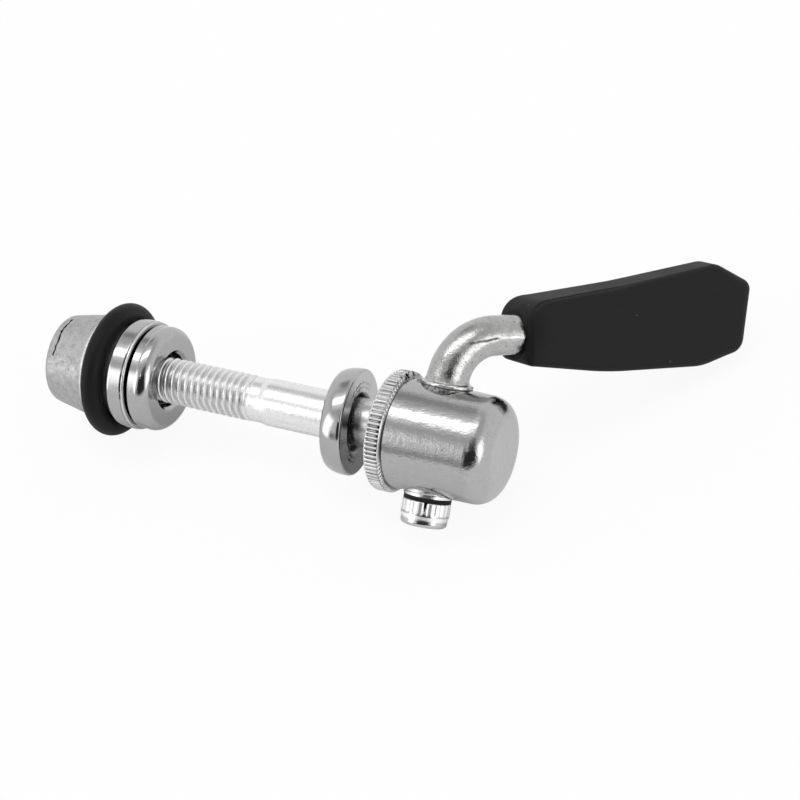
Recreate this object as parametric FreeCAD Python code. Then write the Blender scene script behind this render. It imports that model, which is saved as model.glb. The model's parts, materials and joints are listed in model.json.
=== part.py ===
import FreeCAD, Part
import math
import os

V = FreeCAD.Vector

# Seatpost quick release bolt with an enclosed cam. Millimetres.
# It is modelled in the bolt's own frame: the rod's axis is X, the lever's shaft is Z, and they
# cross at the origin inside the housing, with the nut end on the minus X side. At the end
# everything is laid down as the loose part comes to rest on a table.

# Rod
rod_diameter = 8.0
thread_diameter = 7.84
thread_pitch = 1.25
thread_length = 35.5
thread_root = 0.25          # width of the flat root, as a share of the pitch
thread_crest = 0.125        # width of the flat crest, as a share of the pitch
neck_length = 2.2
rod_length = 69.4          # from the middle of the eye to the threaded tip
rod_tip_chamfer = 0.9
eye_diameter = 12.4        # the barrel that takes the cam
eye_width = 10.4
eye_flats = 8.8            # across the flats that the lever's shaft passes through
eye_edge = 0.9
eye_shoulder = 0.6

# Cam and lever shaft
throw = 1.1                # eccentricity
cam_diameter = 5.6
journal_diameter = 7.9     # upper bearing, under the collar
stud_diameter = 5.0        # lower bearing and thread for the retaining nut
collar_diameter = 8.7
collar_thickness = 0.65
rest_swing = 48.0          # where the lever points, from the rod's axis towards the back
closed_swing = 90.0        # where the cam pulls hardest
cam_end_gap = 0.32
slot_side_play = 0.12
slot_end_play = 0.15

# Lever arm
bar_foot_diameter = 7.5
bar_root_diameter = 7.1
bar_diameter = 6.7
bar_mouth_diameter = 6.8
bar_tip_diameter = 5.0
bar_foot_height = 0.38
bend_radius = 8.3
arm_slope = 10.0
arm_tip_reach = 31.0

# Housing
housing_diameter = 17.9       # at the closed end
housing_mouth_diameter = 18.4
housing_drop = 0.2            # the housing hangs on the rod by its play
housing_end_fillet = 3.6
shaft_to_end = 11.8
shaft_to_mouth = 6.0
bore_clearance = 0.35
bore_floor = 4.2
mouth_chamfer = 0.3
upper_seat_depth = 0.35
lower_seat_depth = 0.35
upper_seat_diameter = 9.9
lower_seat_diameter = 9.6
running_clearance = 0.06   # radial, round both bearings of the lever's shaft

# Knurled ring
knurl_diameter = 20.2
knurl_width = 2.26
knurl_count = 80
knurl_depth = 0.36
lip_diameter = 19.9
lip_width = 0.4
ring_web = 1.6
ring_wall = 0.75
spigot_length = 1.4
spigot_diameter = 14.6
rod_clearance = 0.3

# Clamp washers, one at each side of the frame's ears
washer_diameter = 17.9
washer_thickness = 3.9
washer_bore = 9.5
washer_round_length = 2.3
washer_round_height = 1.1
washer_bore_chamfer = 0.5
washer_back_chamfer = 0.35
clamp_gap = 31.7           # between the two washers as the loose part lies
ring_to_washer = 5.8
washer_lean = 5.1          # how far the loose washer leans on the rod
washer_lean_turn = 26.0    # the side it leans to, from the back towards the top
washer_drop = 0.45

# Cone nut with its ring
nut_gap = 0.3
flange_diameter = 18.9
flange_width = 3.3
flange_step = 0.18
flange_step_width = 0.75
groove_width = 4.4
ring_section = 3.5
ring_outer_diameter = 23.2
groove_side_clearance = 0.03
cone_rim_diameter = 18.6
cone_tip_diameter = 15.0
cone_length = 9.3
cone_tip_round = 1.2
cone_rim_chamfer = 0.25
thread_clearance = 0.05
nut_mouth_chamfer = 0.7

# Retaining nut and its washers
steel_washer_thickness = 0.45
steel_washer_diameter = 8.1
friction_washer_thickness = 0.75
friction_washer_diameter = 7.9
seat_gap = 0.05
cap_diameter = 8.0
cap_foot_diameter = 7.7
cap_height = 4.2
cap_round = 0.7
cap_floor = 1.1
flute_count = 22
flute_length = 2.2
flute_diameter = 0.75
flute_depth = 0.17
slit_turn = -70.0
slit_width = 0.34
slit_length = 1.7
slit_depth = 0.7

# Grip, as heights above the rod's axis at distances from the lever's shaft
grip_mouth = 10.4
grip_length = 42.0
grip_tip_length = 7.2          # from the widest place to the tip
grip_mouth_bottom = 14.0
grip_mouth_top = 24.2
grip_belly = 15.0
grip_heel = 17.9
grip_back_sag = 0.35          # how far the upper edge dips in its middle
grip_shoulder = 35.2
grip_tip_low = 23.0
grip_tip_high = 32.6
grip_mouth_thickness = 9.6
grip_tip_thickness = 6.6
grip_edge = 1.2
grip_flare_diameter = 8.2      # the mouth opens round the bar
grip_flare_depth = 1.1
grip_mouth_corner = 3.6
grip_low_corner = 2.2
grip_shoulder_corner = 2.4
grip_tip_corner = 1.6
grip_heel_corner = 3.2
grip_soft_corner = 60.0

grip_reach = grip_mouth + grip_length
grip_shoulder_reach = grip_reach - grip_tip_length

# Places along the rod, from the lever's shaft
mouth_x = -shaft_to_mouth
ring_back_x = mouth_x
ring_front_x = ring_back_x - lip_width - knurl_width
housing_washer_back_x = ring_front_x - ring_to_washer
housing_washer_face_x = housing_washer_back_x - washer_thickness
nut_washer_face_x = housing_washer_face_x - clamp_gap
nut_washer_back_x = nut_washer_face_x - washer_thickness
flange_front_x = nut_washer_back_x - nut_gap
groove_front_x = flange_front_x - flange_width
groove_back_x = groove_front_x - groove_width
cone_tip_x = groove_back_x - cone_length
ring_middle_x = groove_back_x + groove_side_clearance + ring_section / 2

# The cam's mean travel is even along the swing, so the eye's place follows the lever's
eye_x = throw * rest_swing / closed_swing
slot_half_width = cam_diameter / 2 + 0.211 * throw + slot_side_play
slot_half_length = cam_diameter / 2 + throw + slot_end_play
bore_diameter = eye_diameter + 2 * bore_clearance

# Heights along the lever's shaft, from the housing's radius where the shaft passes
taper_length = shaft_to_mouth + shaft_to_end - housing_end_fillet
housing_taper = (housing_mouth_diameter - housing_diameter) / 2 / taper_length
shaft_radius = housing_mouth_diameter / 2 - housing_taper * shaft_to_mouth
upper_seat_z = shaft_radius - housing_drop - upper_seat_depth
lower_seat_z = -shaft_radius - housing_drop + lower_seat_depth
collar_z = upper_seat_z + seat_gap
bar_z = collar_z + collar_thickness
journal_z = eye_flats / 2 + cam_end_gap
cam_reach = cam_diameter / 2 + throw
cam_bottom_z = -math.sqrt((bore_diameter / 2) ** 2 - cam_reach ** 2) - housing_drop + cam_end_gap
steel_washer_z = lower_seat_z - seat_gap
friction_washer_z = steel_washer_z - steel_washer_thickness
cap_z = friction_washer_z - friction_washer_thickness
cap_bottom_z = cap_z - cap_height


def wire(start, *steps):
    """Lines and arcs from a start point back to it: a step is a point, or a (via, end) pair."""
    edges = []
    here = start
    for step in steps + (start,):
        if isinstance(step, tuple):
            via, end = step
            edges.append(Part.Arc(here, via, end).toShape())
        else:
            end = step
            edges.append(Part.makeLine(here, end))
        here = end
    return Part.Wire(edges)


def turned_on_rod(start, *steps):
    """Turns a closed outline of (place along X, radius) points round the rod's axis."""
    def lift(step):
        if isinstance(step[0], tuple):
            return tuple(lift(p) for p in step)
        return V(step[0], 0, step[1])
    face = Part.Face(wire(lift(start), *[lift(s) for s in steps]))
    return face.revolve(V(0, 0, 0), V(1, 0, 0), 360)


def turned_on_shaft(start, *steps):
    """Turns a closed outline of (radius, height) points round the lever's shaft."""
    def lift(step):
        if isinstance(step[0], tuple):
            return tuple(lift(p) for p in step)
        return V(step[0], 0, step[1])
    face = Part.Face(wire(lift(start), *[lift(s) for s in steps]))
    return face.revolve(V(0, 0, 0), V(0, 0, 1), 360)


def round_via(centre, radius, turn):
    """The point of an arc at an angle in degrees round its centre."""
    a = math.radians(turn)
    return (centre[0] + radius * math.cos(a), centre[1] + radius * math.sin(a))


def disc(diameter, low, high):
    return Part.makeCylinder(diameter / 2, high - low, V(0, 0, low))


def bolt_rod():
    """Threaded end, rolled neck, plain shank, and the barrel eye with its crosswise slot."""
    tip = eye_x - rod_length
    thread_end = tip + thread_length
    neck_radius = thread_diameter / 2 - 0.35 * thread_pitch
    shank = thread_end + neck_length
    r, t, e = rod_diameter / 2, thread_diameter / 2, eye_diameter / 2
    left, right = eye_x - eye_width / 2, eye_x + eye_width / 2
    slope = r - neck_radius
    body = turned_on_rod(
        (thread_end, 0), (thread_end, t), (thread_end + t - neck_radius, neck_radius),
        (shank - slope, neck_radius), (shank, r), (left - eye_shoulder, r),
        (round_via((left - eye_shoulder, r + eye_shoulder), eye_shoulder, -45), (left, r + eye_shoulder)),
        (left, e - eye_edge),
        (round_via((left + eye_edge, e - eye_edge), eye_edge, 135), (left + eye_edge, e)),
        (right - eye_edge, e),
        (round_via((right - eye_edge, e - eye_edge), eye_edge, 45), (right, e - eye_edge)),
        (right, 0))
    body = body.fuse(threaded_end(tip))
    size = V(2 * rod_length, eye_diameter + 2, eye_flats)
    flats = Part.makeBox(size.x, size.y, size.z, V(-size.x, -size.y / 2, -size.z / 2))
    flats.translate(V(eye_width, 0, 0))
    return body.common(flats).cut(eye_slot())


def threaded_end(tip):
    """The rod's threaded length. The space between the threads is a trapezium carried along a
    right-handed helix, which starts before the tip and runs out just short of the neck."""
    crest = thread_diameter / 2
    depth = 0.61 * thread_pitch
    root = thread_root * thread_pitch / 2
    slope = (thread_pitch / 2 - thread_crest * thread_pitch / 2 - root) / depth
    over = 0.15
    top = root + slope * (depth + over)
    lead = 1.5 * thread_pitch
    profile = Part.makePolygon([V(crest - depth, 0, -root), V(crest + over, 0, -top), V(crest + over, 0, top),
                                V(crest - depth, 0, root), V(crest - depth, 0, -root)])
    helix = Part.makeHelix(thread_pitch, lead + thread_length - top, crest)
    groove = Part.Wire(helix).makePipeShell([profile], True, True)
    groove.translate(V(0, 0, -lead))
    thread = Part.makeCylinder(crest, thread_length).cut(groove)
    thread.Placement = FreeCAD.Placement(FreeCAD.Matrix(
        0, 0, 1, tip, 1, 0, 0, 0, 0, 1, 0, 0, 0, 0, 0, 1)) * thread.Placement
    bevel = turned_on_rod((tip, crest - rod_tip_chamfer), (tip, crest + 1), (tip + rod_tip_chamfer, crest + 1),
                          (tip + rod_tip_chamfer, crest))
    return thread.cut(bevel)


def eye_slot():
    """The slot is as wide as the cam and long enough for its throw to either side."""
    reach = slot_half_length - slot_half_width
    w = slot_half_width
    z = -eye_diameter
    outline = wire(V(eye_x - w, -reach, z), (V(eye_x, -reach - w, z), V(eye_x + w, -reach, z)),
                   V(eye_x + w, reach, z), (V(eye_x, reach + w, z), V(eye_x - w, reach, z)))
    return Part.Face(outline).extrude(V(0, 0, 2 * eye_diameter))


def cam_housing():
    """A closed, slightly tapered cylinder with a large rounded end, bored for the eye and the
    lever's shaft."""
    r, f = housing_diameter / 2, housing_end_fillet
    mouth = housing_mouth_diameter / 2
    end = shaft_to_end
    bore_end = end - bore_floor
    seat = mouth_x + spigot_length
    shell = turned_on_rod(
        (mouth_x, spigot_diameter / 2), (mouth_x, mouth - mouth_chamfer),
        (mouth_x + mouth_chamfer, mouth - housing_taper * mouth_chamfer),
        (end - f, r), (round_via((end - f, r - f), f, 45), (end, r - f)), (end, 0),
        (bore_end, 0), (bore_end, bore_diameter / 2), (seat, bore_diameter / 2),
        (seat, spigot_diameter / 2))
    shell.translate(V(0, 0, -housing_drop))
    cuts = [
        disc(journal_diameter + 2 * running_clearance, 0, mouth + 1),
        disc(stud_diameter + 2 * running_clearance, -mouth - 1, 0),
        disc(upper_seat_diameter, upper_seat_z, mouth + 1),
        disc(lower_seat_diameter, -mouth - 1, lower_seat_z),
    ]
    for tool in cuts:
        shell = shell.cut(tool)
    return shell


def knurled_ring():
    """Straight-knurled end ring: a web round the rod, and a spigot pressed into the housing."""
    crest = knurl_diameter / 2
    root = crest - knurl_depth
    pitch = 360.0 / knurl_count
    points = []
    for i in range(knurl_count):
        for share, radius in ((-0.34, root), (-0.12, crest), (0.12, crest), (0.34, root)):
            a = math.radians((i + share) * pitch)
            points.append(V(ring_front_x, radius * math.cos(a), radius * math.sin(a)))
    teeth = Part.Face(Part.makePolygon(points + points[:1])).extrude(V(knurl_width, 0, 0))
    lip = Part.makeCylinder(lip_diameter / 2, lip_width, V(ring_back_x - lip_width, 0, 0), V(1, 0, 0))
    hole = rod_diameter / 2 + rod_clearance
    spigot = spigot_diameter / 2
    web_x = ring_front_x + ring_web
    end = ring_back_x + spigot_length
    spigot_body = Part.makeCylinder(spigot, spigot_length, V(ring_back_x, 0, 0), V(1, 0, 0))
    hollow = Part.makeCylinder(spigot - ring_wall, end - web_x, V(web_x, 0, 0), V(1, 0, 0))
    bore = Part.makeCylinder(hole, end - ring_front_x, V(ring_front_x, 0, 0), V(1, 0, 0))
    ring = teeth.fuse(lip).fuse(spigot_body).cut(hollow).cut(bore).removeSplitter()
    ring.translate(V(0, 0, -housing_drop))
    return ring


def clamp_washer(face_x, side):
    """Heavy washer whose flat face looks to the given side; its rim rolls off towards it."""
    r, bore = washer_diameter / 2, washer_bore / 2
    c, b = washer_bore_chamfer, washer_back_chamfer
    back = face_x - side * washer_thickness
    roll = face_x - side * washer_round_length
    flat = r - washer_round_height
    half = math.sqrt(0.5)
    via = (roll + side * washer_round_length * half, flat + washer_round_height * half)
    return turned_on_rod(
        (face_x, bore + c), (face_x, flat), (via, (roll, r)), (back + side * b, r),
        (back, r - b), (back, bore + c), (back + side * c, bore), (face_x - side * c, bore))


def housing_washer(up):
    """The loose washer leans and drops on the rod by the play of its bore."""
    body = clamp_washer(housing_washer_face_x, -1)
    middle = V((housing_washer_face_x + housing_washer_back_x) / 2, 0, 0)
    turn = math.radians(washer_lean_turn)
    lean_to = V(0, math.cos(turn), math.sin(turn))
    body.rotate(middle, V(1, 0, 0).cross(lean_to), washer_lean)
    body.translate(V(0, -up.y, -up.z).normalize() * washer_drop)
    return body


def cone_nut():
    """Adjusting nut: flange, groove for the ring, and the long taper, tapped right through."""
    bore = thread_diameter / 2 + thread_clearance
    c = nut_mouth_chamfer
    flange = flange_diameter / 2
    step_x = flange_front_x - flange_step_width
    groove = ring_outer_diameter / 2 - ring_section
    rim, tip, f = cone_rim_diameter / 2, cone_tip_diameter / 2, cone_tip_round
    k = cone_rim_chamfer
    taper = (rim - tip) / cone_length
    blend = (cone_tip_x + f, tip + taper * f)
    corner = (cone_tip_x + 0.3 * f, tip - 0.22 * f)
    return turned_on_rod(
        (flange_front_x, bore + c), (flange_front_x, flange - flange_step), (step_x, flange - flange_step),
        (step_x, flange), (groove_front_x, flange), (groove_front_x, groove), (groove_back_x, groove),
        (groove_back_x, rim - k), (groove_back_x - k, rim - taper * k), blend,
        (corner, (cone_tip_x, tip - f)), (cone_tip_x, bore + c), (cone_tip_x + c, bore),
        (flange_front_x - c, bore))


def nut_o_ring():
    middle = (ring_outer_diameter - ring_section) / 2
    ring = Part.makeTorus(middle, ring_section / 2, V(ring_middle_x, 0, 0), V(1, 0, 0))
    return ring


def cam_lever():
    """One forging: stud, cam, journal, collar, and the round bar that bends into the arm."""
    turn = math.radians(rest_swing - closed_swing)
    cam = disc(cam_diameter, cam_bottom_z, journal_z)
    cam.translate(V(throw * math.cos(turn), throw * math.sin(turn), 0))
    stud_end = cap_bottom_z + cap_floor + seat_gap
    stud = disc(stud_diameter, stud_end, cam_bottom_z)
    journal = disc(journal_diameter, journal_z, collar_z)
    collar = disc(collar_diameter, collar_z, bar_z)
    shaft = cam.fuse(stud).fuse(journal).fuse(collar)
    return shaft.fuse(bent_bar()).removeSplitter()


def bend_end():
    """Where the bend meets the straight arm, as (reach, height)."""
    slope = math.radians(arm_slope)
    start = bar_z + bar_foot_height
    return (bend_radius * (1 - math.sin(slope)), start + bend_radius * math.cos(slope))


def arm_height(reach):
    """Height of the straight arm's axis at a distance from the lever's shaft."""
    x, z = bend_end()
    return z + (reach - x) * math.tan(math.radians(arm_slope))


def arm_span(start, end, d0, d1):
    """A tapering round length of the arm between two distances from the shaft."""
    a, b = V(start, 0, arm_height(start)), V(end, 0, arm_height(end))
    axis = b - a
    if d0 == d1:
        return Part.makeCylinder(d0 / 2, axis.Length, a, axis)
    return Part.makeCone(d0 / 2, d1 / 2, axis.Length, a, axis)


def bent_bar():
    """Foot, a bend that tapers, the straight arm, and the tang inside the grip."""
    foot = Part.makeCone(bar_foot_diameter / 2, bar_root_diameter / 2, bar_foot_height, V(0, 0, bar_z))
    slope = math.radians(arm_slope)
    reach, height = bend_end()
    start, end = V(0, 0, bar_z + bar_foot_height), V(reach, 0, height)
    via_turn = (math.pi / 2 + slope) / 2
    via = start + V(bend_radius * (1 - math.sin(via_turn)), 0, bend_radius * math.cos(via_turn))
    sweep = Part.BRepOffsetAPI.MakePipeShell(Part.Wire(Part.Arc(start, via, end).toShape()))
    sweep.add(Part.Wire(Part.makeCircle(bar_root_diameter / 2, start, V(0, 0, 1))))
    sweep.add(Part.Wire(Part.makeCircle(bar_diameter / 2, end, V(math.cos(slope), 0, math.sin(slope)))))
    sweep.build()
    sweep.makeSolid()
    bend = sweep.shape()
    arm = arm_span(reach, grip_mouth, bar_diameter, bar_mouth_diameter)
    tang = arm_span(grip_mouth, arm_tip_reach, bar_mouth_diameter, bar_tip_diameter)
    bar = foot.fuse(bend).fuse(arm).fuse(tang)
    bar.rotate(V(0, 0, 0), V(0, 0, 1), rest_swing)
    return bar


def rounded_outline(corners):
    """A closed outline in the arm's plane from (reach, height, corner radius) points."""
    count = len(corners)
    spots = []
    for i in range(count):
        p, q, s = (V(corners[(i + k) % count][0], 0, corners[(i + k) % count][1]) for k in (-1, 0, 1))
        radius = corners[i][2]
        u, w = (p - q).normalize(), (s - q).normalize()
        half = u.getAngle(w) / 2
        back = radius / math.tan(half)
        middle = (u + w).normalize() * (radius / math.sin(half))
        via = q + middle - (u + w).normalize() * radius
        spots.append((q + u * back, via, q + w * back))
    steps = []
    for i in range(count):
        first, via, last = spots[i]
        if i:
            steps.append(first)
        steps.append((via, last))
    return wire(spots[0][0], *steps)


def lever_grip():
    """Moulded paddle on the arm: it widens to a blunt five-sided tip and thins towards it."""
    middle = (grip_mouth + grip_shoulder_reach) / 2
    outline = rounded_outline([
        (grip_mouth, grip_mouth_bottom, grip_edge), (middle, grip_belly, grip_soft_corner),
        (grip_shoulder_reach, grip_heel, 12.0), (grip_reach - 1.0, grip_heel + 2.6, grip_heel_corner),
        (grip_reach, grip_tip_low + 1.0, grip_low_corner),
        (grip_reach - 0.7, grip_tip_high, grip_tip_corner),
        (grip_shoulder_reach, grip_shoulder, grip_shoulder_corner),
        (middle, (grip_mouth_top + grip_shoulder) / 2 - grip_back_sag, grip_soft_corner),
        (grip_mouth, grip_mouth_top, grip_mouth_corner)])
    wide = grip_mouth_thickness / 2
    thin = grip_tip_thickness / 2
    slab = Part.Face(outline).extrude(V(0, 2 * wide, 0))
    slab.translate(V(0, -wide, 0))
    plan = wire(V(grip_mouth, -wide, 0), V(grip_reach, -thin, 0), V(grip_reach, thin, 0),
                V(grip_mouth, wide, 0))
    wedge = Part.Face(plan).extrude(V(0, 0, 2 * grip_shoulder))
    paddle = slab.common(wedge)
    paddle = paddle.makeFillet(grip_edge, paddle.Edges)
    widen = (grip_flare_diameter - bar_mouth_diameter) / grip_flare_depth
    flare = arm_span(grip_mouth - 1, grip_mouth + grip_flare_depth, grip_flare_diameter + widen,
                     bar_mouth_diameter)
    paddle = paddle.cut(flare)
    paddle.rotate(V(0, 0, 0), V(0, 0, 1), rest_swing)
    return paddle.cut(bent_bar())


def retaining_nut():
    """Cap nut with a fluted upper band, a plain rounded foot and one tapered slit."""
    r, f = cap_diameter / 2, cap_round
    foot = cap_foot_diameter / 2
    stud = stud_diameter / 2
    floor = cap_bottom_z + cap_floor
    cap = turned_on_shaft(
        (0, floor), (0, cap_bottom_z), (foot - f, cap_bottom_z),
        (round_via((foot - f, cap_bottom_z + f), f, -45), (foot, cap_bottom_z + f)), (r, cap_z),
        (stud, cap_z), (stud, floor))
    centre = r + flute_diameter / 2 - flute_depth
    for i in range(flute_count):
        turn = math.radians(slit_turn + (i + 0.5) * 360.0 / flute_count)
        flute = Part.makeCylinder(flute_diameter / 2, flute_length,
                                  V(centre * math.cos(turn), centre * math.sin(turn), cap_z - flute_length))
        cap = cap.cut(flute)
    w = slit_width / 2
    notch = wire(V(r - slit_depth, -w, cap_z), V(r - slit_depth, w, cap_z), V(r - slit_depth, 0, cap_z - slit_length))
    slit = Part.Face(notch).extrude(V(2 * slit_depth, 0, 0))
    slit.rotate(V(0, 0, 0), V(0, 0, 1), slit_turn)
    return cap.cut(slit)


def flat_washer(diameter, top, thickness):
    hole = stud_diameter + 2 * running_clearance
    return disc(diameter, top - thickness, top).cut(disc(hole, top - thickness, top))


def lowest(shape, up):
    """How far a shape reaches down when the given way is up."""
    turned = shape.copy()
    turned.Placement = FreeCAD.Placement(V(0, 0, 0), FreeCAD.Rotation(up, V(0, 0, 1))) * turned.Placement
    return turned.optimalBoundingBox(False, False).ZMin


def up_from(roll, pitch):
    """The way up from the roll about the rod and the dip of its nut end."""
    return V(math.sin(pitch), -math.sin(roll) * math.cos(pitch), math.cos(roll) * math.cos(pitch))


def settle(ring, cap, grip):
    """Roll and pitch at which the ring, the retaining nut and the grip touch one table."""
    def gaps(roll, pitch):
        up = up_from(roll, pitch)
        foot = lowest(cap, up)
        return lowest(grip, up) - foot, lowest(ring, up) - foot
    roll, pitch, step = math.radians(40.0), math.radians(2.0), 0.01
    for _ in range(6):
        a, b = gaps(roll, pitch)
        ar, br = gaps(roll + step, pitch)
        ap, bp = gaps(roll, pitch + step)
        j11, j12 = (ar - a) / step, (ap - a) / step
        j21, j22 = (br - b) / step, (bp - b) / step
        det = j11 * j22 - j12 * j21
        roll -= (j22 * a - j12 * b) / det
        pitch -= (j11 * b - j21 * a) / det
    return up_from(roll, pitch)


def lay_down(up):
    """Turns the way up to +Z and keeps the rod's closed end towards +X."""
    along = (V(1, 0, 0) - up * up.x).normalize()
    across = up.cross(along)
    return FreeCAD.Placement(FreeCAD.Matrix(
        along.x, along.y, along.z, 0, across.x, across.y, across.z, 0, up.x, up.y, up.z, 0, 0, 0, 0, 1))


def build():
    """Every piece by name, laid down with the lowest points at height zero."""
    pieces = {
        "bolt_rod": bolt_rod(),
        "cone_nut": cone_nut(),
        "nut_o_ring": nut_o_ring(),
        "nut_washer": clamp_washer(nut_washer_face_x, 1),
        "knurled_ring": knurled_ring(),
        "cam_housing": cam_housing(),
        "cam_lever": cam_lever(),
        "lever_grip": lever_grip(),
        "steel_washer": flat_washer(steel_washer_diameter, steel_washer_z, steel_washer_thickness),
        "friction_washer": flat_washer(friction_washer_diameter, friction_washer_z,
                                       friction_washer_thickness),
        "retaining_nut": retaining_nut(),
    }
    up = settle(pieces["nut_o_ring"], pieces["retaining_nut"], pieces["lever_grip"])
    pieces["housing_washer"] = housing_washer(up)
    turn = lay_down(up)
    for shape in pieces.values():
        shape.Placement = turn * shape.Placement
    box = Part.makeCompound(list(pieces.values())).optimalBoundingBox(False, False)
    shift = V(-box.Center.x, -box.Center.y, -box.ZMin)
    for shape in pieces.values():
        shape.translate(shift)
    return pieces, turn, shift


def main():
    os.makedirs("parts", exist_ok=True)
    pieces, turn, shift = build()
    for name, shape in sorted(pieces.items()):
        shape.exportStep("parts/" + name + ".step")
        print(name, shape.isValid(), len(shape.Solids), "solid", round(shape.Volume, 2), "mm3")


if __name__ == "__main__":
    main()
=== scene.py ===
import bmesh
import bpy
import json
import math
import numpy as np
from mathutils import Matrix, Vector

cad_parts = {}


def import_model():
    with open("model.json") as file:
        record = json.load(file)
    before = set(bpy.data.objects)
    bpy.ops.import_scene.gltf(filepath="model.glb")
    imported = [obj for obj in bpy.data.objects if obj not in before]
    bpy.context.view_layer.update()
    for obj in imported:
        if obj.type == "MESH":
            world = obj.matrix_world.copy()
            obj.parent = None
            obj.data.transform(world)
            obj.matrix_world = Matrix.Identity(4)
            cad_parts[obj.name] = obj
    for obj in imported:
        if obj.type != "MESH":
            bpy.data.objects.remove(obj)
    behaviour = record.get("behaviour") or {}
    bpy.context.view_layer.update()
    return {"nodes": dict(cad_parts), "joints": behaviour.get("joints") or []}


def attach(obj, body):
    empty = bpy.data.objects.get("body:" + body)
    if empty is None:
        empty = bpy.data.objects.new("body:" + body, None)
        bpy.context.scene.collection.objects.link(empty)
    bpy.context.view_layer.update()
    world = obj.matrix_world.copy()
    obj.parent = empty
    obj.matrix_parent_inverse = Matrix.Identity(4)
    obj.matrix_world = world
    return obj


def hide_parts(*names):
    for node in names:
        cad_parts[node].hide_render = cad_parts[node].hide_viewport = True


# Seatpost quick release bolt: the finish of its plated, forged and moulded pieces.
# Shapes are worked out in millimetres in the bolt's own frame: X along the rod towards the cam
# housing, Z along the lever's shaft, and the origin where the two cross.

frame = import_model()
JOINTS = {joint["name"]: joint for joint in frame["joints"]}


def unit(vector):
    return vector / np.linalg.norm(vector)


def bolt_axes():
    """The rod's way, the way across and the lever shaft's way as rows, from the two hinges."""
    along = unit(np.array(JOINTS["nut_turn"]["axis"]))
    shaft = np.array(JOINTS["lever_turn"]["axis"])
    shaft = unit(shaft - along * (shaft @ along))
    return np.array([along, np.cross(shaft, along), shaft])


AXES = bolt_axes()
ORIGIN = np.array(JOINTS["lever_turn"]["pos_m"])
MM = 0.001
MERGE = 2e-6        # points nearer than this are one, in metres
SLIVER = 1e-7       # edges shorter than this are dropped, in metres


def placed(points):
    """Points of the bolt's frame, in millimetres, as points of the scene, in metres."""
    return ORIGIN + np.asarray(points, float) @ AXES * MM


def reach(node):
    """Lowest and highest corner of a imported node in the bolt's frame, in millimetres."""
    mesh = frame["nodes"][node].data
    flat = np.empty(len(mesh.vertices) * 3, np.float32)
    mesh.vertices.foreach_get("co", flat)
    local = (flat.reshape(-1, 3) - ORIGIN) @ AXES.T / MM
    return local.min(0), local.max(0)


# Camera, as the place and the turn that the reference view has in the bolt's frame
CAMERA_PLACE = (147.3, -358.4, 44.0)
CAMERA_RIGHT = (0.8985, 0.4067, 0.1654)
CAMERA_BACK = (0.395, -0.9132, 0.0997)
LENS = 108.0
SENSOR = 36.0

# Rod
THREAD_PITCH = 1.25
THREAD_CREST = 3.92
THREAD_DEPTH = 0.74
THREAD_LENGTH = 35.5
NECK_LENGTH = 2.9
NECK_RADIUS = 3.76
SHANK_RADIUS = 4.0
TIP_CHAMFER = 0.9
EYE_FACE = -4.6
SHADED_FROM = -15.2     # where the shank begins to lie in the housing's shade
THREAD_STEPS = 12       # rows a turn of the thread

# Cone nut and knurled ring
NUT_BORE = 3.97
CONE_RIM = 9.3
CONE_TIP = 7.5
CONE_RIM_ROUND = 0.42
CONE_TIP_ROUND = 1.2
NUT_MOUTH = 0.7
GROOVE_WIDTH = 4.4
GROOVE_FLOOR = 8.1
FLANGE_WIDTH = 3.3
BEAD_WIDTH = 0.5
SCRIBE_FROM_TIP = 1.9
SCRIBE_TURN = 145.0
SCRIBE_HALF = 30.0
KNURL_COUNT = 80
KNURL_DEPTH = 0.4
LIP_WIDTH = 0.2
SPIGOT_LENGTH = 1.4
SPIGOT_RADIUS = 7.3
RING_WEB = 1.6
RING_WALL = 0.75
RING_ROLL = 0.5
BORE_RADIUS = 4.3
HOUSING_MOUTH = 9.2
BURR_TURN = math.radians(100.0)         # where chips of plating stand up on the ring
POCKET_TURN = math.radians(184.0)       # where painted shade makes dark pockets behind the teeth

# Loose washer
WASHER_THICKNESS = 3.9
WASHER_RADIUS = 8.95
WASHER_BORE = 4.75
WASHER_FLAT = 0.6
WASHER_ROLL = 1.1
WASHER_LEAN = 5.1
WASHER_LEAN_TURN = 26.0

# Cap nut
FLUTE_COUNT = 22
FLUTE_LENGTH = 2.2
FLUTE_DEPTH = 0.08
CAP_ROUND = 0.7
CAP_FLOOR = 1.1
STUD_RADIUS = 2.5
SLIT_TURN = -70.0
SLIT_LENGTH = 1.9
SLIT_DEPTH = 0.6

# Lever
SWING = 48.0
ARM_SLOPE = 10.0
BEND_RADIUS = 8.3
COLLAR_LOW = 8.6
COLLAR_HIGH = 9.25
COLLAR_RADIUS = 4.35
COLLAR_RAGGED = 0.14    # how far the collar's rim wanders
SEAT_BORE = 4.12
LOWER_SEAT = -8.975
LOWER_RIM = 4.0
SEAT_RAGGED = 0.1       # how far the upper seat's edge wanders outwards, and dips
SEAT_DIPS = 0.06
FOOT_RADIUS = 3.75
ROOT_RADIUS = 3.55
BAR_RADIUS = 3.35
MOUTH_RADIUS = 3.4
TANG_RADIUS = 2.5
WANDER_ROOM = 0.065     # the bar is this much thinner, to leave room for its wander
FOOT_HEIGHT = 0.38
GRIP_MOUTH = 10.4
TANG_REACH = 31.0
GRIP_TIP = 52.4
GRIP_CORNERS = (        # reach, height and rounding, round the outline
    (11.3, 13.9, 1.5), (27.0, 14.6, 60.0), (45.2, 17.7, 12.0), (52.75, 21.3, 2.8),
    (52.05, 32.85, 1.9), (44.3, 35.1, 3.2), (27.8, 29.35, 60.0), (9.3, 23.85, 4.3))
GRIP_MIDDLE = (31.0, 24.0)
GRIP_HALF = (4.8, 3.3)  # half its thickness at the mouth and at the tip
GRIP_EDGE = 1.2
GRIP_TIP_EDGE = 1.9
GRIP_GROOVE = 0.16
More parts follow.
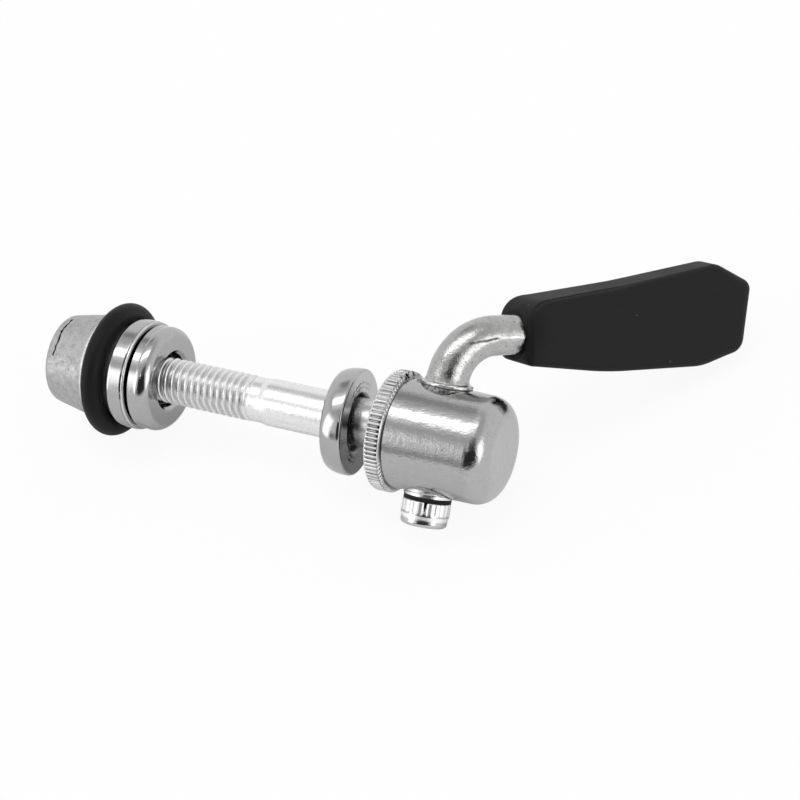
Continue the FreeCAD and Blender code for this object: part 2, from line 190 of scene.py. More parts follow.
GRIP_BAR_HEIGHT = 18.4
GRIP_FUNNEL = 0.35
GRIP_MOUTH_SLANT = -0.125
FLASH_FROM = 6.0
FLASH_TO = 11.0
NOISE_SPAN = 40.0       # longer than the arm's bar, so that no noise repeats along it
GRIP_NOISE_SPAN = 60.0


def lattice_noise(u, v, cells, seed):
    """Smooth noise from -1 to 1 on coordinates of whole periods: random values on a lattice of
    cells[0] by cells[1], joined by cosine steps, so that it repeats at u = 1 and v = 1."""
    rng = np.random.default_rng(seed)
    values = rng.uniform(-1, 1, cells)
    a, b = (u % 1.0) * cells[0], (v % 1.0) * cells[1]
    i, j = np.floor(a).astype(int), np.floor(b).astype(int)
    s, t = 0.5 - 0.5 * np.cos(np.pi * (a - i)), 0.5 - 0.5 * np.cos(np.pi * (b - j))
    i0, i1, j0, j1 = i % cells[0], (i + 1) % cells[0], j % cells[1], (j + 1) % cells[1]
    low = values[i0, j0] * (1 - s) + values[i1, j0] * s
    high = values[i0, j1] * (1 - s) + values[i1, j1] * s
    return low * (1 - t) + high * t


def smooth(value, low, high):
    """0 below low, 1 above high, and an S between them."""
    t = np.clip((value - low) / (high - low), 0, 1)
    return t * t * (3 - 2 * t)


def ring_noise(share, count, seed):
    """Smooth noise from -1 to 1 round a ring, with count random values a turn."""
    return lattice_noise(share, 0 * share, (count, 1), seed)


def mound(distance, width):
    """1 at no distance, falling as a bell that is about zero two widths away."""
    return np.exp(-((distance / width) ** 2))


def turn_between(turn, other):
    """The turn between two ways, from 0 to half a turn."""
    return np.abs((turn - other + np.pi) % (2 * np.pi) - np.pi)


def swung(x, y, z):
    """Points given along, across and above the lever's arm, as points of the bolt's frame."""
    swing = math.radians(SWING)
    return np.stack([x * math.cos(swing) - y * math.sin(swing),
                     x * math.sin(swing) + y * math.cos(swing), z], -1)


def grid_faces(rows, columns, skew=0):
    """Four corners of each cell of a grid whose last column joins the first one, skew rows further
    on, which closes a helix."""
    i, j = (a.ravel() for a in np.meshgrid(np.arange(rows - 1), np.arange(columns), indexing="ij"))
    last = j + 1 == columns
    step = np.where(last, skew, 0)
    keep = i + 1 + step < rows if skew else np.ones(len(i), bool)
    far = np.where(last, 0, j + 1)
    quads = np.stack([i * columns + j, (i + 1) % rows * columns + j,
                      (i + 1 + step) % rows * columns + far, (i + step) % rows * columns + far], 1)
    return quads[keep]


def piece(name, shells, material, body, stands_for=(), sharp=35.0, extra=None):
    """A closed mesh from shells in the bolt's frame, each a grid of points with its grime and painted
    shade, its frost and painted light and, for a helix, its skew. extra is a copy of a CAD solid that
    joins them. The piece rides on a body and can stand for CAD nodes."""
    points = np.concatenate([s[0].reshape(-1, 3) for s in shells])
    sizes = np.cumsum([0] + [len(s[0].reshape(-1, 3)) for s in shells])
    faces = np.concatenate([grid_faces(*s[0].shape[:2], *s[3:]) + n for s, n in zip(shells, sizes)])
    marks = [np.concatenate([np.broadcast_to(s[k], s[0].shape[:-1]).ravel() for s in shells])
             for k in (1, 2)]
    mesh = bpy.data.meshes.new(name)
    mesh.from_pydata(placed(points), [], faces.tolist())
    for label, values in zip(("grime_and_shade", "frost_and_light"), marks):
        layer = mesh.attributes.new(label, "FLOAT", "POINT")
        layer.data.foreach_set("value", values.astype(np.float32))
    work = bmesh.new()
    work.from_mesh(mesh)
    if extra is not None:
        work.from_mesh(extra)
    bmesh.ops.remove_doubles(work, verts=work.verts, dist=MERGE)
    bmesh.ops.dissolve_degenerate(work, edges=work.edges, dist=SLIVER)
    bmesh.ops.recalc_face_normals(work, faces=work.faces)
    work.to_mesh(mesh)
    work.free()
    mesh.polygons.foreach_set("use_smooth", np.ones(len(mesh.polygons), bool))
    mesh.set_sharp_from_angle(angle=math.radians(sharp))
    obj = bpy.data.objects.new(name, mesh)
    bpy.context.scene.collection.objects.link(obj)
    mesh.materials.append(material)
    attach(obj, body)
    if stands_for:
        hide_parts(*stands_for)
    return obj


def cut_copy(node, keep_from, keep_way):
    """A merged copy of a CAD node's mesh, cut at a plane of the bolt's frame and closed there."""
    work = bmesh.new()
    work.from_mesh(frame["nodes"][node].data)
    bmesh.ops.remove_doubles(work, verts=work.verts, dist=SLIVER)
    way = Vector(np.asarray(keep_way, float) @ AXES)
    found = bmesh.ops.bisect_plane(
        work, geom=work.verts[:] + work.edges[:] + work.faces[:], dist=SLIVER,
        plane_co=Vector(placed(keep_from)), plane_no=-way, clear_outer=True)
    edges = [e for e in found["geom_cut"] if isinstance(e, bmesh.types.BMEdge)]
    bmesh.ops.holes_fill(work, edges=edges, sides=0)
    mesh = bpy.data.meshes.new(node + "_cut")
    work.to_mesh(mesh)
    work.free()
    return mesh


def turned(outline, around, axis="x", centre=(0.0, 0.0), radius_change=None):
    """A closed outline of (place, radius) rows turned round the rod or the shaft, as points, turns
    and radii. radius_change(place, radius, turn) gives the radius where it isn't the outline's."""
    outline = np.asarray(outline, float)
    turn = np.arange(around) * 2 * np.pi / around
    place, turn = np.meshgrid(outline[:, 0], turn, indexing="ij")
    radius = np.broadcast_to(outline[:, 1:2], place.shape).copy()
    if radius_change is not None:
        radius = radius_change(place, radius, turn)
    a, b = centre[0] + radius * np.cos(turn), centre[1] + radius * np.sin(turn)
    return np.stack([place, a, b] if axis == "x" else [a, b, place], -1), turn, radius


# Node building for the materials

def new_material(name):
    material = bpy.data.materials.new(name)
    material.use_nodes = True
    tree = material.node_tree
    shader = next(n for n in tree.nodes if n.type == "BSDF_PRINCIPLED")
    return material, tree, shader


def add(tree, kind, **inputs):
    """A node with its named inputs set, or linked where a socket is given."""
    node = tree.nodes.new(kind)
    for key, value in inputs.items():
        if key[0].islower():
            setattr(node, key, value)
            continue
        socket = node.inputs[key.replace("_", " ")]
        if isinstance(value, bpy.types.NodeSocket):
            tree.links.new(value, socket)
        else:
            socket.default_value = value
    return node


def group(name, inputs, outputs):
    """A shader node group with sockets given as {name: (kind, default)} and {name: kind}."""
    tree = bpy.data.node_groups.new(name, "ShaderNodeTree")
    for label, (kind, value) in inputs.items():
        socket = tree.interface.new_socket(label, in_out="INPUT", socket_type="NodeSocket" + kind)
        socket.default_value = value
    for label, kind in outputs.items():
        tree.interface.new_socket(label, in_out="OUTPUT", socket_type="NodeSocket" + kind)
    return tree, tree.nodes.new("NodeGroupInput").outputs, tree.nodes.new("NodeGroupOutput").inputs


def plated_group():
    """Plating over worked steel. The tint wanders, fine pits are scattered, and two bumps bend what
    it mirrors: a slow wave and a fine grain. Scratches run along the rod. Grime and painted shade
    darken marks, hollows and places in shade, and frost makes worked edges paler and duller; frost
    also paints highlights, and painted shade where it is below zero."""
    inputs = {"Tint": ("Color", (0.5, 0.5, 0.5, 1))}
    for name in ("Patch", "Pits", "Scratch", "Rough", "Wave", "Grain", "Grime_and_Shade", "Frost_and_Light"):
        inputs[name] = ("Float", 0.0)
    tree, given, out = group("plated", inputs,
                             {"Color": "Color", "Roughness": "Float", "Normal": "Vector"})
    place = add(tree, "ShaderNodeTexCoord").outputs["Object"]
    slow = add(tree, "ShaderNodeTexNoise", Vector=place, Scale=330.0, Detail=2.0).outputs["Fac"]
    cloud = add(tree, "ShaderNodeTexNoise", Vector=place, Scale=900.0, Detail=5.0,
                Roughness=0.65).outputs["Fac"]
    grain = add(tree, "ShaderNodeTexNoise", Vector=place, Scale=3200.0, Detail=3.0).outputs["Fac"]
    spot = add(tree, "ShaderNodeTexVoronoi", Vector=place, Scale=1700.0).outputs["Distance"]
    pit = add(tree, "ShaderNodeMapRange", Value=spot, From_Min=0.08, From_Max=0.22, To_Min=1.0,
              To_Max=0.0).outputs[0]
    pits = multiply(tree, multiply(tree, pit, soft_step(tree, slow, 0.5, 0.62)), given["Pits"])
    stretch = add(tree, "ShaderNodeMapping", Vector=place, Scale=(90.0, 3400.0, 3400.0)).outputs[0]
    drawn = add(tree, "ShaderNodeTexNoise", Vector=stretch, Scale=1.0, Detail=2.0).outputs["Fac"]
    drawn = multiply(tree, combine(tree, "SUBTRACT", drawn, 0.5), given["Scratch"])
    blotch = combine(tree, "ADD", combine(tree, "SUBTRACT", cloud, 0.5), multiply(tree, grain, 0.6))
    patch = multiply(tree, combine(tree, "SUBTRACT", blotch, 0.3), given["Patch"])
    level = combine(tree, "ADD", combine(tree, "ADD", patch, drawn), 1.0)
    level = combine(tree, "SUBTRACT", level, combine(tree, "ADD", pits, given["Grime_and_Shade"]))
    level = combine(tree, "MINIMUM", combine(tree, "MAXIMUM", level, 0.02), 1.3)
    level = multiply(tree, level, combine(tree, "ADD", multiply(tree, given["Frost_and_Light"], 0.9), 1.0))
    colour = add(tree, "ShaderNodeVectorMath", operation="SCALE", Scale=level)
    tree.links.new(given["Tint"], colour.inputs[0])
    tree.links.new(colour.outputs[0], out["Color"])
    rough = combine(tree, "SUBTRACT", given["Rough"], patch)
    rough = combine(tree, "ADD", rough, multiply(tree, combine(tree, "ADD", pits, given["Grime_and_Shade"]), 0.4))
    rough = combine(tree, "ADD", rough, multiply(tree, given["Frost_and_Light"], 0.25))
    tree.links.new(combine(tree, "MAXIMUM", rough, 0.03), out["Roughness"])
    height = combine(tree, "ADD", multiply(tree, slow, given["Wave"]),
                     multiply(tree, cloud, given["Grain"]))
    height = combine(tree, "ADD", height, multiply(tree, multiply(tree, grain, given["Grain"]), 0.4))
    height = combine(tree, "SUBTRACT", combine(tree, "ADD", height, multiply(tree, drawn, 0.2)),
                     multiply(tree, pits, 0.5))
    bump = add(tree, "ShaderNodeBump", Strength=1.0, Distance=0.00005, Height=height)
    tree.links.new(bump.outputs[0], out["Normal"])
    return tree


def combine(tree, operation, first, second):
    """One step of arithmetic on sockets or numbers."""
    node = tree.nodes.new("ShaderNodeMath")
    node.operation = operation
    for socket, value in zip(node.inputs, (first, second)):
        if isinstance(value, bpy.types.NodeSocket):
            tree.links.new(value, socket)
        else:
            socket.default_value = value
    return node.outputs[0]


def multiply(tree, first, second):
    return combine(tree, "MULTIPLY", first, second)


def soft_step(tree, value, low, high):
    """0 below low, 1 above high."""
    return add(tree, "ShaderNodeMapRange", interpolation_type="SMOOTHSTEP", Value=value, From_Min=low,
               From_Max=high).outputs[0]


PLATED = plated_group()
GRIME_AND_SHADE_STRENGTH = 0.8


def plating(name, tint, rough, patch, pits, scratch, wave, grain):
    """A plated metal with its own values of the plated group."""
    material, tree, shader = new_material(name)
    finish = tree.nodes.new("ShaderNodeGroup")
    finish.node_tree = PLATED
    for label, value in (("Tint", (*tint, 1)), ("Rough", rough), ("Patch", patch), ("Pits", pits),
                         ("Scratch", scratch), ("Wave", wave), ("Grain", grain)):
        finish.inputs[label].default_value = value
    painted = add(tree, "ShaderNodeAttribute", attribute_name="grime_and_shade").outputs["Fac"]
    tree.links.new(multiply(tree, painted, GRIME_AND_SHADE_STRENGTH), finish.inputs["Grime_and_Shade"])
    frost_and_light_here = add(tree, "ShaderNodeAttribute", attribute_name="frost_and_light").outputs["Fac"]
    tree.links.new(frost_and_light_here, finish.inputs["Frost_and_Light"])
    tree.links.new(finish.outputs["Color"], shader.inputs["Base Color"])
    tree.links.new(finish.outputs["Roughness"], shader.inputs["Roughness"])
    tree.links.new(finish.outputs["Normal"], shader.inputs["Normal"])
    shader.inputs["Metallic"].default_value = 1.0
    return material


def moulding(name, tint, rough, specks):
    """Matt black rubber or plastic: a fine moulded grain, faint clouds and a few pale specks. Painted
    shade from the grime and shade attribute darkens it, and where that is below zero it is paler as a
    painted highlight."""
    material, tree, shader = new_material(name)
    place = add(tree, "ShaderNodeTexCoord").outputs["Object"]
    grain = add(tree, "ShaderNodeTexNoise", Vector=place, Scale=3500.0, Detail=3.0).outputs["Fac"]
    cloud = add(tree, "ShaderNodeTexNoise", Vector=place, Scale=160.0, Detail=4.0).outputs["Fac"]
    spot = add(tree, "ShaderNodeTexVoronoi", Vector=place, Scale=330.0).outputs["Distance"]
    dust = add(tree, "ShaderNodeMapRange", Value=spot, From_Min=0.03, From_Max=0.06, To_Min=specks,
               To_Max=0.0).outputs[0]
    level = combine(tree, "ADD", multiply(tree, cloud, 0.7), 0.65)
    painted = add(tree, "ShaderNodeAttribute", attribute_name="grime_and_shade").outputs["Fac"]
    clean = combine(tree, "MAXIMUM", combine(tree, "SUBTRACT", 1.0, painted), 0.0)
    level = multiply(tree, level, clean)
    colour = add(tree, "ShaderNodeVectorMath", operation="SCALE", Scale=combine(tree, "ADD", level, dust))
    colour.inputs[0].default_value = tint
    tree.links.new(colour.outputs[0], shader.inputs["Base Color"])
    rough_here = combine(tree, "ADD", multiply(tree, combine(tree, "SUBTRACT", cloud, 0.5), 0.3), rough)
    tree.links.new(rough_here, shader.inputs["Roughness"])
    bump = add(tree, "ShaderNodeBump", Strength=0.25, Distance=0.00005, Height=grain)
    tree.links.new(bump.outputs[0], shader.inputs["Normal"])
    shader.inputs["Specular IOR Level"].default_value = 0.16
    return material


CHROME = plating("bright_chrome", (0.44, 0.44, 0.445), 0.08,
                 patch=0.05, pits=0.3, scratch=0.05, wave=0.5, grain=0.15)
BRUSHED = plating("brushed_chrome", (0.44, 0.44, 0.44), 0.085,
                  patch=0.16, pits=0.4, scratch=0.12, wave=0.9, grain=0.9)
SATIN = plating("satin_plate", (0.45, 0.45, 0.45), 0.5,
                patch=0.6, pits=0.5, scratch=0.0, wave=1.5, grain=1.4)
FORGED = plating("forged_plate", (0.44, 0.44, 0.435), 0.12,
                 patch=0.45, pits=1.2, scratch=0.0, wave=1.1, grain=1.5)
ROLLED = plating("rolled_plate", (0.84, 0.84, 0.84), 0.27,
                 patch=0.12, pits=0.3, scratch=0.3, wave=0.8, grain=0.6)
RUBBER = moulding("black_rubber", (0.007, 0.007, 0.007), 0.5, 1.5)
MOULDED = moulding("black_moulding", (0.0135, 0.0135, 0.0135), 0.6, 5.0)


def threaded_rod():
    """Rolled thread, neck and plain shank. The thread is a sheared grid whose rows keep one phase:
    place = (row / steps + turn / whole turn) x pitch, radius = crest - depth x groove(phase). The
    neck swells to the shank in an S, and the eye beyond the joint is the CAD rod's own."""
    tip = reach("bolt_rod")[0][0]
    end = tip + THREAD_LENGTH
    shank = end + NECK_LENGTH
    around, steps = 96, THREAD_STEPS
    rows = steps * (int(THREAD_LENGTH / THREAD_PITCH) + 3)
    i, j = np.meshgrid(np.arange(rows), np.arange(around), indexing="ij")
    x = np.clip(tip + (i / steps + j / around - 1) * THREAD_PITCH, tip, end)
    saw = np.abs((i / steps) % 1.0 - 0.5) * 2
    groove = 0.65 * np.clip((1 - saw - 0.15) / 0.6, 0, 1) + 0.35 * smooth(1 - saw, 0.1, 0.8)
    fade = smooth(end - x, 0.0, 1.3 * THREAD_PITCH)
    radius = NECK_RADIUS + (THREAD_CREST - THREAD_DEPTH * groove - NECK_RADIUS) * fade
    radius = np.minimum(radius, THREAD_CREST - TIP_CHAMFER + (x - tip))
    turn = j * 2 * np.pi / around
    thread = np.stack([x, radius * np.cos(turn), radius * np.sin(turn)], -1)
    # Painted shade darkens the thread's roots
    darkened = 0.25 * groove * fade
    joint = EYE_FACE - 2.0
    swell = SHANK_RADIUS - NECK_RADIUS
    plain = [(end, NECK_RADIUS), (end + 0.3, NECK_RADIUS)]
    plain += [(at, NECK_RADIUS + swell * smooth(at, shank - 1.5, shank))
              for at in np.linspace(shank - 1.6, shank, 8)]
    plain += [(at, SHANK_RADIUS) for at in np.linspace(shank + 1, joint, 60)] + [(joint, 0.0)]
    shaft, _, _ = turned(plain, around)
    shade = smooth(shaft[..., 0], SHADED_FROM, SHADED_FROM + 1.5)
    cap, _, _ = turned([(tip, 0.0), (tip, THREAD_CREST - TIP_CHAMFER)], around)
    shells = [(thread, darkened, 0.0, steps), (shaft, 0.0, -0.15 * shade), (cap, 0.0, 0.0)]
    eye = cut_copy("bolt_rod", (joint, 0, 0), (1, 0, 0))
    return piece("threaded_rod", shells, ROLLED, "bolt", ["bolt_rod"], extra=eye)


def bar_path():
    """The bar's centre line in the arm's plane, as (reach, height, heading) rows from the collar up:
    straight foot, an arc, and the straight arm at its slope."""
    slope = math.radians(ARM_SLOPE)
    base = COLLAR_HIGH + 0.05 + FOOT_HEIGHT
    foot = [(0.0, z, math.pi / 2) for z in np.linspace(COLLAR_HIGH + 0.15, base, 4)]
    heading = np.linspace(math.pi / 2, slope, 60)[1:]
    bend = [(BEND_RADIUS * (1 - math.sin(h)), base + BEND_RADIUS * math.cos(h), h) for h in heading]
    x, z, _ = bend[-1]
    length = (TANG_REACH - x) / math.cos(slope)
    arm = [(x + s * math.cos(slope), z + s * math.sin(slope), slope)
           for s in np.linspace(0, length, 90)[1:]]
    return np.array(foot + bend + arm)


def lever_bar():
    """Forged bar: a circle carried along the bar's path. Its radius tapers from the foot to the tang,
    and a flash line, first split and then raised, and two wanders are added to it. The foot stands on
    a thin collar with a ragged rim, and the cam below it is the CAD lever's own."""
    path = bar_path()
    around = 120
    travel = np.concatenate([[0], np.cumsum(np.hypot(*np.diff(path[:, :2], axis=0).T))])
    size = np.interp(path[:, 0], [0.0, BEND_RADIUS, GRIP_MOUTH + 1, TANG_REACH],
                     [ROOT_RADIUS, BAR_RADIUS, MOUTH_RADIUS, TANG_RADIUS])
    size = size + (FOOT_RADIUS - ROOT_RADIUS) * np.exp(-((travel / 0.5) ** 1.5))
    turn = np.arange(around) * 2 * np.pi / around
    s, t = np.meshgrid(travel, turn, indexing="ij")
    u, v = s / NOISE_SPAN, t / (2 * np.pi)
    ragged = lattice_noise(u, v, (70, 12), 4)
    drift = 0.45 * smooth(s, 9.8, 5.4) + 0.05 * ragged
    across = np.minimum(np.abs(t - np.pi / 2 + drift), np.abs(t - 3 * np.pi / 2 - drift)) * BAR_RADIUS
    split = smooth(s, FLASH_FROM, FLASH_FROM + 0.8) * smooth(s, FLASH_TO + 0.8, FLASH_TO - 0.4)
    seam = smooth(s, FLASH_TO - 1.0, FLASH_TO + 1.5)
    line = 0.045 * seam * mound(across, 0.3) - 0.03 * split * mound(across, 0.2)
    wander = 0.03 * lattice_noise(u, v, (9, 4), 5) + 0.014 * lattice_noise(u, v, (46, 22), 6)
    radius = size[:, None] - WANDER_ROOM + line + wander
    heading = path[:, 2][:, None]
    out_x, out_z = -np.sin(heading), np.cos(heading)
    x = path[:, 0][:, None] + radius * np.cos(t) * out_x
    z = path[:, 1][:, None] + radius * np.cos(t) * out_z
    bar = swung(x, radius * np.sin(t), z)
    darkened = 1.3 * split * mound(across, 0.17) * smooth(ragged, -0.9, 0.1)
    pale = 0.2 * seam * smooth(ragged, -0.6, 0.6) * mound(across, 0.5)
    angle = np.arctan2(bar[0, :, 1], bar[0, :, 0])
    share = angle / (2 * np.pi)
    lip = COLLAR_RADIUS - 0.05 + COLLAR_RAGGED * ring_noise(share, 38, 8)
    top = COLLAR_HIGH + COLLAR_RAGGED / 2 * ring_noise(share, 52, 9)
    low = 0 * lip + COLLAR_LOW
    rims = [(0 * lip, low), (lip - 0.2, low), (lip - 0.05, low + 0.05), (lip, low + 0.2),
            (lip, top - 0.22), (lip - 0.08, top - 0.06), (lip - 0.2, top),
            (0.5 * (lip + FOOT_RADIUS), top - 0.06)]
    collar = np.array([np.stack([r * np.cos(angle), r * np.sin(angle), h], -1) for r, h in rims])
    whole = np.concatenate([collar, bar, bar[-1:].mean(1, keepdims=True) + 0 * bar[-1:]])
    specks = np.array([smooth(ring_noise(share, 90, 30 + k), 0.2, 0.9) for k in range(len(rims))])
    grime_and_shade = np.concatenate([0.9 * specks, darkened, darkened[-1:]])
    frost_and_light = np.concatenate([np.full(specks.shape, 0.75), pale, pale[-1:]])
    shaft = cut_copy("cam_lever", (0, 0, COLLAR_LOW), (0, 0, -1))
    return piece("lever_bar", [(whole, grime_and_shade, frost_and_light)], FORGED, "lever", ["cam_lever"],
                 extra=shaft, sharp=50.0)


def grip_outline(count):
    """Evenly spaced (reach, height) points of the grip's outline, its corners rounded by arcs, and
    the way out of it at each."""
    path = []
    for k, (reach_to, height, radius) in enumerate(GRIP_CORNERS):
        corner = np.array([reach_to, height])
        before = unit(np.array(GRIP_CORNERS[k - 1][:2]) - corner)
        after = unit(np.array(GRIP_CORNERS[(k + 1) % len(GRIP_CORNERS)][:2]) - corner)
        half = math.acos(before @ after) / 2
        centre = corner + unit(before + after) * radius / math.sin(half)
        first = corner + before * radius / math.tan(half) - centre
        side = 1 if before[0] * after[1] - before[1] * after[0] < 0 else -1
        for turn in np.linspace(0, side * (math.pi - 2 * half), 24):
            path.append(centre + np.array([first[0] * math.cos(turn) - first[1] * math.sin(turn),
                                           first[0] * math.sin(turn) + first[1] * math.cos(turn)]))
    path = np.array(path + path[:1])
    travel = np.concatenate([[0], np.cumsum(np.hypot(*np.diff(path, axis=0).T))])
    at = np.arange(count) * travel[-1] / count
    even = np.stack([np.interp(at, travel, path[:, k]) for k in (0, 1)], 1)
    along = np.roll(even, -1, 0) - np.roll(even, 1, 0)
    along /= np.hypot(*along.T)[:, None]
    return even, np.stack([along[:, 1], -along[:, 0]], 1)


def moulded_grip():
    """Grip: its outline is carried across the arm, place = outline - way out x edge x (1 - sin angle),
    so that quarter circles round both rims. Each face shrinks to one point, the mouth slants and sinks
    in a funnel round the bar, and a fine groove runs along the near upper rim, darker with painted
    shade, beside a pale bead that is a painted highlight. Painted shade also darkens the mouth's face
    round the bar on the near side."""
    even, out = grip_outline(480)
    middle = np.array(GRIP_MIDDLE)
    spans = [GRIP_MOUTH, GRIP_TIP]
    bend = np.linspace(0, math.pi / 2, 12)
    face = np.linspace(0, 0.97, 12)
    edge = np.interp(even[:, 0], [44.0, 50.0], [GRIP_EDGE, GRIP_TIP_EDGE])
    upper = smooth(out[:, 1], 0.3, 0.75) * smooth(even[:, 0], 10.0, 11.5) * smooth(even[:, 0], 32.0, 24.0)
    drift = 0.05 * ring_noise(even[:, 0] / GRIP_NOISE_SPAN, 70, 62)
    # Rows across the grip as outline, thickness place, and the painted shade of the groove and painted
    # highlight of its bead
    rows = []
    for side in (-1, 1):
        half_here = []
        for share, angle in [(share, 0.0) for share in face] + [(1.0, angle) for angle in bend]:
            top = upper * (side < 0) * (share == 1)
            groove = mound(angle - 1.28 + drift, 0.12) * top
            bead = mound(angle - 0.85, 0.2) * top
            flat = even - out * (edge * (1 - math.sin(angle)) + GRIP_GROOVE * groove)[:, None]
            flat = middle + (flat - middle) * share
            half = np.interp(flat[:, 0], spans, GRIP_HALF)
            half_here.append((flat, side * (half - edge * (1 - math.cos(angle))),
                              0.75 * groove - 0.55 * bead, share))
        rows += half_here if side < 0 else half_here[::-1]
        if side < 0:
            half = np.interp(even[:, 0], spans, GRIP_HALF)
            rows += [(even, (2 * k - 1) * (half - edge), 0 * half, 1.0)
                     for k in np.linspace(0.05, 0.95, 18)]
    rings, paint = [], []
    for flat, across, marks, share in rows:
        from_bar = np.hypot(across, flat[:, 1] - GRIP_BAR_HEIGHT)
        at_mouth = smooth(flat[:, 0], GRIP_MOUTH + 4.0, GRIP_MOUTH + 0.5)
        sunk = GRIP_FUNNEL * smooth(from_bar, 4.3, 3.5) + GRIP_MOUTH_SLANT * across
        shade = 0.45 * smooth(from_bar, 7.5, 4.5) * smooth(flat[:, 0], 15.5, 11.5) * (across < 0)
        u, v = flat[:, 0] / GRIP_NOISE_SPAN, flat[:, 1] / GRIP_NOISE_SPAN
        wavy = 0.05 * lattice_noise(u, v, (12, 12), 61) * (share < 1)
        rings.append(swung(flat[:, 0] + sunk * at_mouth, across + wavy, flat[:, 1]))
        paint.append(marks + shade)
    return piece("moulded_grip", [(np.array(rings), np.array(paint), 0.0)], MOULDED, "lever",
                 ["lever_grip"], sharp=50.0)


def seat_burr():
    """Edges that the drilling threw up round the lever's two seats, ragged above and plain below:
    rings whose foot follows the housing, z = sqrt(wall^2 - y^2) - drop, and whose top stays under
    the collar."""
    low, high = reach("cam_housing")
    drop = -(low[2] + high[2]) / 2
    wall = (high[2] - low[2]) / 2 - 0.1
    share = np.arange(360) / 360
    turn = share * 2 * np.pi
    inner = 0 * turn + SEAT_BORE
    shells = []
    for way, radius, reach_to, ragged in ((1, SEAT_BORE + 0.16, COLLAR_LOW - 0.025, 1.0),
                                          (-1, LOWER_RIM, LOWER_SEAT, 0.0)):
        outer = radius + SEAT_RAGGED * ragged * ring_noise(share, 44, 15)
        foot = np.sqrt(wall ** 2 - (outer * np.sin(turn)) ** 2) - way * drop - 0.15
        top = way * reach_to - SEAT_DIPS * ragged * smooth(ring_noise(share, 60, 16), 0.0, 1.0)
        foot = np.minimum(foot, top - 0.1)
        tall = top - foot
        inside = np.minimum(inner, outer - 0.1) if ragged else inner - 1.2
        rims = [(inside, foot), (outer, foot), (outer + 0.04, foot + 0.3 * tall),
                (outer, foot + 0.75 * tall), (outer - 0.08, top), (inside, top), (inside, foot)]
        points = np.array([np.stack([r * np.cos(turn), r * np.sin(turn), way * z], -1) for r, z in rims])
        specks = np.array([smooth(ring_noise(share, 110, 50 + k), 0.1, 0.8) for k in range(len(rims))])
        specks[1] = 1.0
        shells.append((points, (0.45 + 0.6 * specks) * ragged, 0.8 - 0.7 * ragged))
    return piece("seat_burr", shells, FORGED, "housing", sharp=60.0)


